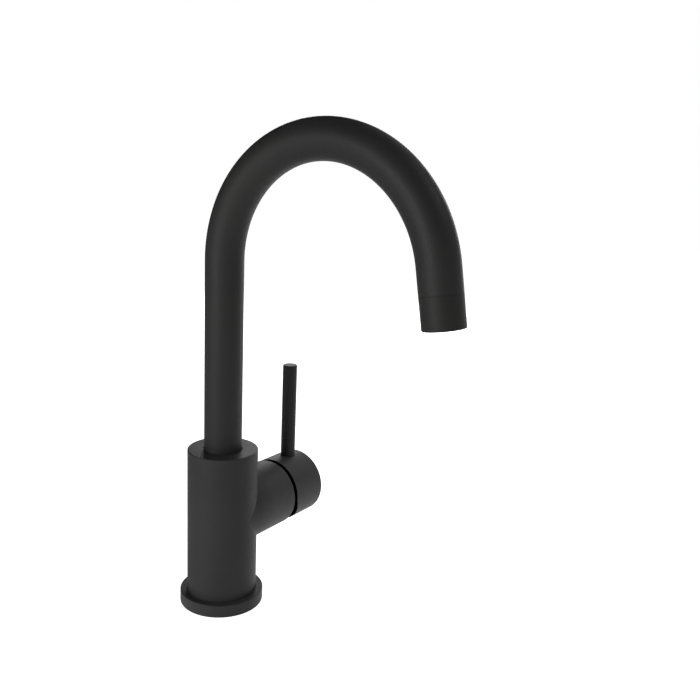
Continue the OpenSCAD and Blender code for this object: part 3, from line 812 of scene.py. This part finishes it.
def sinkSlot(bm, aim, rim):
    s = aeratorSet
    inner, outer = s["slotRadii"]

    def isSlot(p):
        return (isNear(p.z, rim) and inner - matchGap < fromUpright(p) < outer + matchGap
                and p.xy.dot(aim) > 0 and abs(p.xy.cross(aim)) < s["slotHalf"])

    slot = [f for f in bm.faces if all(isSlot(v.co) for v in f.verts)]
    made = bmesh.ops.extrude_face_region(bm, geom=slot)["geom"]
    bmesh.ops.delete(bm, geom=slot, context="FACES")
    bmesh.ops.translate(bm, vec=(0, 0, -s["slotDepth"]),
                        verts=[g for g in made if isinstance(g, bmesh.types.BMVert)])


def makeAeratorCup():
    s = aeratorSet
    top, bore, side, end = s["top"], s["bore"], s["outer"], s["top"] + s["length"]
    screen, sunk = s["screen"]
    grid, deep = s["grid"]
    inner, outer = s["slotRadii"]
    bm = turned([(bore, top + sunk), (screen, top + sunk), (screen, top), (side, top), (side, end),
                 (outer, end), (inner, end), (grid, end), (grid, end - deep), (bore, end - deep)],
                s["steps"], closed=True)
    soften(bm, [(side, end), (grid, end)], s["rimEdge"], coarseSteps)
    for i in range(s["slots"]):
        angle = math.radians(s["firstSlot"] + 360 / s["slots"] * i)
        sinkSlot(bm, (Matrix.Rotation(angle, 3, "Z") @ Vector((1, 0, 0))).xy, end)
    place(bm, tip)
    finishPiece("aerator_cup", bm, "spout", aeratorPlastic, ["aerator_body"])


makeAeratorCup()
print("spout done")


# handle cap: shell with a hub, its rim relieved below the axis so that it can tilt

capSet = {
    "radius": 23.6,
    "wall": 2.2,
    "rim": 54.4,
    "end": 83.9,
    "endWall": 3.0,
    "hub": (9.0, 59.0),  # radius and end
    "edge": 0.6,
    "innerEdge": 1.0,
    "rimEdge": 0.25,
    "rimTurn": 40,  # edges of the rim turn more than this
    "rimReach": 63,  # and lie nearer to the boss than this
    "reliefDrop": 2.5,
    "reliefAngle": 19.0,
    "leverAt": 71.5,
    "leverHole": (5.3, 11, 30, 96),  # radius, start and end above the handle axis, steps
    "studHole": (3.03, 4, 12, 48),
    "screwAt": 67.0,
    "accessHole": (2.8, -40, -9.2, 48),
    "screwHole": (2.52, -20, -4, 48),
    "wallPlay": 0.02,  # an inner face lies nearer than this to the inner wall or the back; inner, rim and relief faces take the painted shade
    "rimPlay": 0.05,
    "reliefPlay": 0.3,
    "steps": 192,
}


def capHole(hole, at):
    radius, start, end, steps = capSet[hole]
    return drill(radius, (capSet[at], 0, axisHeight + start), (capSet[at], 0, axisHeight + end), steps)


def makeCap():
    s = capSet
    radius, rim, end, inside = s["radius"], s["rim"], s["end"], s["radius"] - s["wall"]
    back = end - s["endWall"]
    hubRadius, hubEnd = s["hub"]
    bm = turned([(0, end), (radius, end), (radius, rim), (inside, rim), (inside, back), (hubRadius, back),
                 (hubRadius, hubEnd), (0, hubEnd)], s["steps"])
    soften(bm, [(radius, end)], s["edge"], fineSteps)
    soften(bm, [(inside, back)], s["innerEdge"], mediumSteps)
    place(bm, sideways)

    slope = math.radians(s["reliefAngle"])
    start = Vector((rim, 0, axisHeight - s["reliefDrop"]))
    outwards = Vector((-math.cos(slope), 0, -math.sin(slope)))
    bmesh.ops.bisect_plane(bm, geom=[*bm.verts, *bm.edges, *bm.faces], dist=planeGap, clear_outer=True,
                           plane_co=start, plane_no=outwards)
    bmesh.ops.holes_fill(bm, edges=[e for e in bm.edges if e.is_boundary], sides=0)
    bmesh.ops.recalc_face_normals(bm, faces=bm.faces)
    sharp = math.radians(s["rimTurn"])
    rims = [e for e in bm.edges if len(e.link_faces) == 2 and e.calc_face_angle(0) > sharp
            and all(v.co.x < s["rimReach"] and fromHandleAxis(v.co) > inside - matchGap for v in e.verts)]
    roundOff(bm, rims, s["rimEdge"], mediumSteps)
    bm = cutAway(bm, capHole("leverHole", "leverAt"), capHole("studHole", "leverAt"),
                 capHole("accessHole", "screwAt"), capHole("screwHole", "screwAt"))

    # painted shade: the inner wall, the back, the rim and the relieved face, seen dark in the gap
    def takesPaintedShade(p):
        onRelief = abs((p - start).dot(outwards)) < s["reliefPlay"]
        onWall = fromHandleAxis(p) < inside + s["wallPlay"]
        onRim = p.x < rim + s["rimPlay"]
        return p.x < back + s["wallPlay"] and (onWall or onRelief or onRim)

    markPaintedShade(bm, takesPaintedShade)
    finishPiece("cap_shell", bm, "handle", coatHandle, ["handle_cap"])


makeCap()


# pin lever

leverSet = {
    "radius": 5.25,
    "top": 156.1,
    "seat": 74.0,
    "stud": (3.0, 68.0),  # radius and lower end
    "edge": 0.6,
    "seatEdge": 0.3,
    "neck": (0.3, 0.5),  # how far the neck over the thread is set in, and its length
    "pitch": 1.0,
    "threadDepth": 0.45,
    "point": (0.5, 0.8),  # how far the lower end is set in, and the length without thread
    "steps": 96,
}


def makeLever():
    s = leverSet
    radius, top, seat, pitch = s["radius"], s["top"], s["seat"], s["pitch"]
    stud, low = s["stud"]
    neckInset, neckLength = s["neck"]
    pointInset, pointLength = s["point"]
    outline = [(0, top), (radius, top), (radius, seat), (stud - neckInset, seat)]
    at = seat - neckLength
    while at > low + pointLength:
        outline += [(stud, at), (stud - s["threadDepth"], at - pitch / 2)]
        at -= pitch
    bm = turned([*outline, (stud - pointInset, low), (0, low)], s["steps"])
    soften(bm, [(radius, top)], s["edge"], fineSteps)
    soften(bm, [(radius, seat)], s["seatEdge"], coarseSteps)
    place(bm, Matrix.Translation((capSet["leverAt"], 0, 0)))
    finishPiece("pin_lever", bm, "handle", coatLever, ["handle_lever"])


makeLever()
print("handle done")


# small screws: threaded rod with a hexagon socket

grubSet = {
    "radius": 2.45,
    "pitch": 0.6,
    "threadDepth": 0.3,
    "plainEnd": 0.2,
    "chamfer": 0.25,
    "socket": (1.45, 2.0, 6),  # corner radius, depth and corners
    "stopLength": 9.0,
    "stopPoint": (2.0, 2.2),  # radius and length
    "stopAt": (0, 11.2, bodySet["screwHole"]["height"]),
    "handleLength": 5.0,
    "handleRise": -4,  # from the handle axis
    "steps": 48,
}


def makeGrubScrew(name, body, nodes, length, matrix, point=(0, 0)):
    s = grubSet
    radius, pitch, depth = s["radius"], s["pitch"], s["threadDepth"]
    pointRadius, at = point
    outline = [(0, 0)]
    if pointRadius:
        outline += [(pointRadius, 0), (pointRadius, at)]
    outline += [(radius - depth, at), (radius, at + pitch / 2)]
    while at + 1.5 * pitch < length - s["plainEnd"]:
        outline += [(radius - depth, at + pitch), (radius, at + 1.5 * pitch)]
        at += pitch
    outline += [(radius - s["chamfer"], length), (0, length)]
    corner, deep, corners = s["socket"]
    socket = drill(corner, (0, 0, length - deep), (0, 0, length + deep), corners)
    bm = place(cutAway(turned(outline, s["steps"]), socket), matrix)
    finishPiece(name, bm, body, stainless, nodes)


makeGrubScrew("stop_grub", "body", ["spout_stop_screw"], grubSet["stopLength"],
              Matrix.Translation(grubSet["stopAt"]) @ Matrix.Rotation(-math.pi / 2, 4, "X"),
              grubSet["stopPoint"])
makeGrubScrew("handle_grub", "handle", ["handle_set_screw"], grubSet["handleLength"],
              Matrix.Translation((capSet["screwAt"], 0, axisHeight + grubSet["handleRise"]))
              @ Matrix.Rotation(math.pi, 4, "X"))


# deck gasket with a sealing lip, and the threaded inlet base

gasketSet = {
    "inner": 23.7,
    "outer": 26.3,
    "thick": 1.5,
    "lipRise": 0.15,
    "slope": 0.5,
    "steps": 160,
}


def makeGasket():
    s = gasketSet
    inner, outer, thick, rise, slope = s["inner"], s["outer"], s["thick"], s["lipRise"], s["slope"]
    middle = (inner + outer) / 2
    bm = turned([(inner, rise), (inner + slope, rise), (middle - slope, 0), (middle + slope, 0),
                 (outer - slope, rise), (outer, rise), (outer, thick), (inner, thick)],
                s["steps"], closed=True)
    finishPiece("deck_seal", bm, "body", pressedRubber, ["deck_gasket"])


inletSet = {
    "radius": 19.97,
    "low": 2.0,
    "high": 14.0,
    "edge": 0.4,
    "ports": ((6.5, 9.5), (6.5, -9.5)),
    "portThread": {"radius": 4.45, "pitch": 1.0, "depth": 0.45},
    "stud": (-10.5, 0.0),
    "studThread": {"radius": 3.4, "pitch": 1.25, "depth": 0.5},
    "holeDepth": 10.0,
    "countersink": 0.9,
    "waterway": 3.3,
    "waterwayReach": 3,
    "steps": 144,
    "threadSteps": 64,
}


def threadCutter(radius, pitch, depth, beyond):
    # thread flanks over a countersunk mouth; beyond is what goes on past the thread, as radius and length
    s = inletSet
    low, end, wide = s["low"], s["low"] + s["holeDepth"], radius + s["countersink"]
    at = low + s["countersink"]
    outline = [(0, low - overlap), (wide, low - overlap), (wide, low), (radius, at)]
    while at + pitch < end:
        outline += [(radius + depth, at + pitch / 2), (radius, at + pitch)]
        at += pitch
    outline.append((radius, end))
    for bore, length in beyond:
        outline += [(bore, end), (bore, end + length)]
        end += length
    return turned([*outline, (0, end)], s["threadSteps"])


def makeInletBase():
    s = inletSet
    radius, low, high = s["radius"], s["low"], s["high"]
    bm = turned([(0, low), (radius, low), (radius, high), (0, high)], s["steps"])
    soften(bm, [(radius, low), (radius, high)], s["edge"], coarseSteps)
    waterway = [(s["waterway"], s["waterwayReach"])]
    holes = [(at, s["portThread"], waterway) for at in s["ports"]] + [(s["stud"], s["studThread"], [])]
    cutters = [place(threadCutter(**thread, beyond=beyond), Matrix.Translation((*at, 0)))
               for at, thread, beyond in holes]
    finishPiece("threaded_base", cutAway(bm, *cutters), "body", turnedBrass, ["inlet_base"])


makeGasket()
makeInletBase()
print("underside done")


# inner CAD pieces keep their solids and get their finishes

finishes = {
    "inlet_seals": pressedRubber,
    "thrust_washer": bearingPlastic,
    "cartridge_base": cartridgePlastic,
    "cartridge_seals": pressedRubber,
    "fixed_disc": lappedCeramic,
    "cartridge_housing": housingPlastic,
    "cartridge_nut": turnedNut,
    "spout_foot": turnedBrass,
    "foot_slide_rings": bearingPlastic,
    "foot_o_rings": pressedRubber,
    "aerator_washer": pressedRubber,
    "aerator_screen": stainless,
    "aerator_grid": aeratorPlastic,
    "rotor": cartridgePlastic,
    "pivot_pin": stainless,
    "disc_carrier": cartridgePlastic,
    "moving_disc": lappedCeramic,
    "stem": stainless,
}
for node, material in finishes.items():
    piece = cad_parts[node]
    piece.data.materials.clear()
    piece.data.materials.append(material)
print("CAD pieces finished:", len(finishes))


# stage: pale floor and backdrop, white for the camera and in reflections; the left side stays dim

stageSet = {
    "floor": 3.0,  # metres, half of its side
    "drop": 0.0002,  # metres; keeps the floor off the flat underside
    "glow": 0.9,
    "floorTone": 0.8,
    "floorRoughness": 0.9,
    "sky": 0.23,
    "horizon": (0.15, 0.32),  # a reflection fades out while its ray rises from the first to the second
    "dimSide": 84.0,  # heading of the dim side, from the x axis
    "dimEdge": (0.2, 0.9),  # how closely a ray keeps to that heading where the dimming starts and ends
}
lampSet = {
    "centre": (0, -0.05, 0.16),  # metres, and so are the distances and widths
    "lamps": {  # bearing round the object from the camera, height, distance, width, watts
        "key_left": (-45, 12, 1.3, 0.55, 12.1),
        "back_strip": (180, 12, 1.3, 0.55, 4.9),
        "side_right": (90, 45, 1.3, 0.55, 4.2),
        "rim_right": (150, 12, 1.3, 0.55, 3.8),
        "rim_high": (150, 45, 1.3, 0.55, 1.1),
    },
}


def calculate(tree, operation, first, second):
    node = tree.nodes.new("ShaderNodeMath")
    node.operation = operation
    feed(tree, node.inputs[0], first)
    feed(tree, node.inputs[1], second)
    return node.outputs[0]


def calculateVector(tree, operation, first, second=None):
    node = tree.nodes.new("ShaderNodeVectorMath")
    node.operation = operation
    tree.links.new(first, node.inputs[0])
    if second:
        node.inputs[1].default_value = second
    return node.outputs


def brightSide(tree, place):
    # one to the right and in front of the camera's view, falling to zero behind on the left
    turn = math.radians(stageSet["dimSide"])
    level = calculateVector(tree, "MULTIPLY", place, (1, 1, 0))[0]
    aim = calculateVector(tree, "NORMALIZE", level)[0]
    toDim = calculateVector(tree, "DOT_PRODUCT", aim, (math.cos(turn), math.sin(turn), 0))["Value"]
    return spread(tree, toDim, stageSet["dimEdge"], (1, 0))


def seenAsWhite(tree, seen):
    return calculate(tree, "MAXIMUM", seen.outputs["Is Camera Ray"], seen.outputs["Is Transmission Ray"])


def makeFloor():
    s = stageSet
    bm = bmesh.new()
    bmesh.ops.create_grid(bm, x_segments=1, y_segments=1, size=s["floor"])
    floor = addObject("floor", passOn(bm, "floor"))
    floor.location.z = -s["drop"]
    material, tree, shader = newMaterial("pale_floor")
    shader.inputs["Base Color"].default_value = (s["floorTone"],) * 3 + (1,)
    shader.inputs["Roughness"].default_value = s["floorRoughness"]
    shader.inputs["Specular IOR Level"].default_value = 0.0
    shader.inputs["Emission Color"].default_value = (1, 1, 1, 1)
    seen = tree.nodes.new("ShaderNodeLightPath")
    spot = tree.nodes.new("ShaderNodeNewGeometry")
    direct = calculate(tree, "MULTIPLY", seenAsWhite(tree, seen), s["glow"])
    bright = brightSide(tree, spot.outputs["Position"])
    mirrored = calculate(tree, "MULTIPLY", seen.outputs["Is Glossy Ray"], bright)
    tree.links.new(calculate(tree, "MAXIMUM", direct, mirrored), shader.inputs["Emission Strength"])
    floor.data.materials.append(material)


def makeSky():
    s = stageSet
    world = bpy.data.worlds.new("sky")
    bpy.context.scene.world = world
    world.use_nodes = True
    tree = world.node_tree
    tree.nodes.clear()
    output = tree.nodes.new("ShaderNodeOutputWorld")
    backdrop = tree.nodes.new("ShaderNodeBackground")
    backdrop.inputs["Color"].default_value = (1, 1, 1, 1)
    seen = tree.nodes.new("ShaderNodeLightPath")
    aim = tree.nodes.new("ShaderNodeTexCoord").outputs["Generated"]
    split = tree.nodes.new("ShaderNodeSeparateXYZ")
    tree.links.new(aim, split.inputs[0])
    band = spread(tree, split.outputs["Z"], s["horizon"], (1, 0))
    glossy = seen.outputs["Is Glossy Ray"]
    mirrored = calculate(tree, "MULTIPLY", glossy, calculate(tree, "MULTIPLY", band, brightSide(tree, aim)))
    soft = calculate(tree, "MULTIPLY", calculate(tree, "SUBTRACT", 1, glossy), s["sky"])
    white = seenAsWhite(tree, seen)
    strength = calculate(tree, "MAXIMUM", white, calculate(tree, "MAXIMUM", mirrored, soft))
    tree.links.new(strength, backdrop.inputs["Strength"])
    tree.links.new(backdrop.outputs[0], output.inputs["Surface"])


def makeLamps():
    s = lampSet
    ahead = math.radians(90 + cameraSet["bearing"])  # the camera looks along this heading
    for name, (bearing, height, distance, width, watts) in s["lamps"].items():
        heading, rise = ahead + math.pi + math.radians(bearing), math.radians(height)
        level = math.cos(rise)
        aim = Vector((math.cos(heading) * level, math.sin(heading) * level, math.sin(rise)))
        data = bpy.data.lights.new(name, "AREA")
        data.shape = "SQUARE"
        data.size = width
        data.energy = watts
        lamp = addObject(name, data)
        lamp.location = Vector(s["centre"]) + aim * distance
        lamp.rotation_euler = (-aim).to_track_quat("-Z", "Y").to_euler()
        lamp.visible_camera = False


makeFloor()
makeSky()
makeLamps()
bpy.context.scene.view_settings.view_transform = "Standard"
print("stage set")
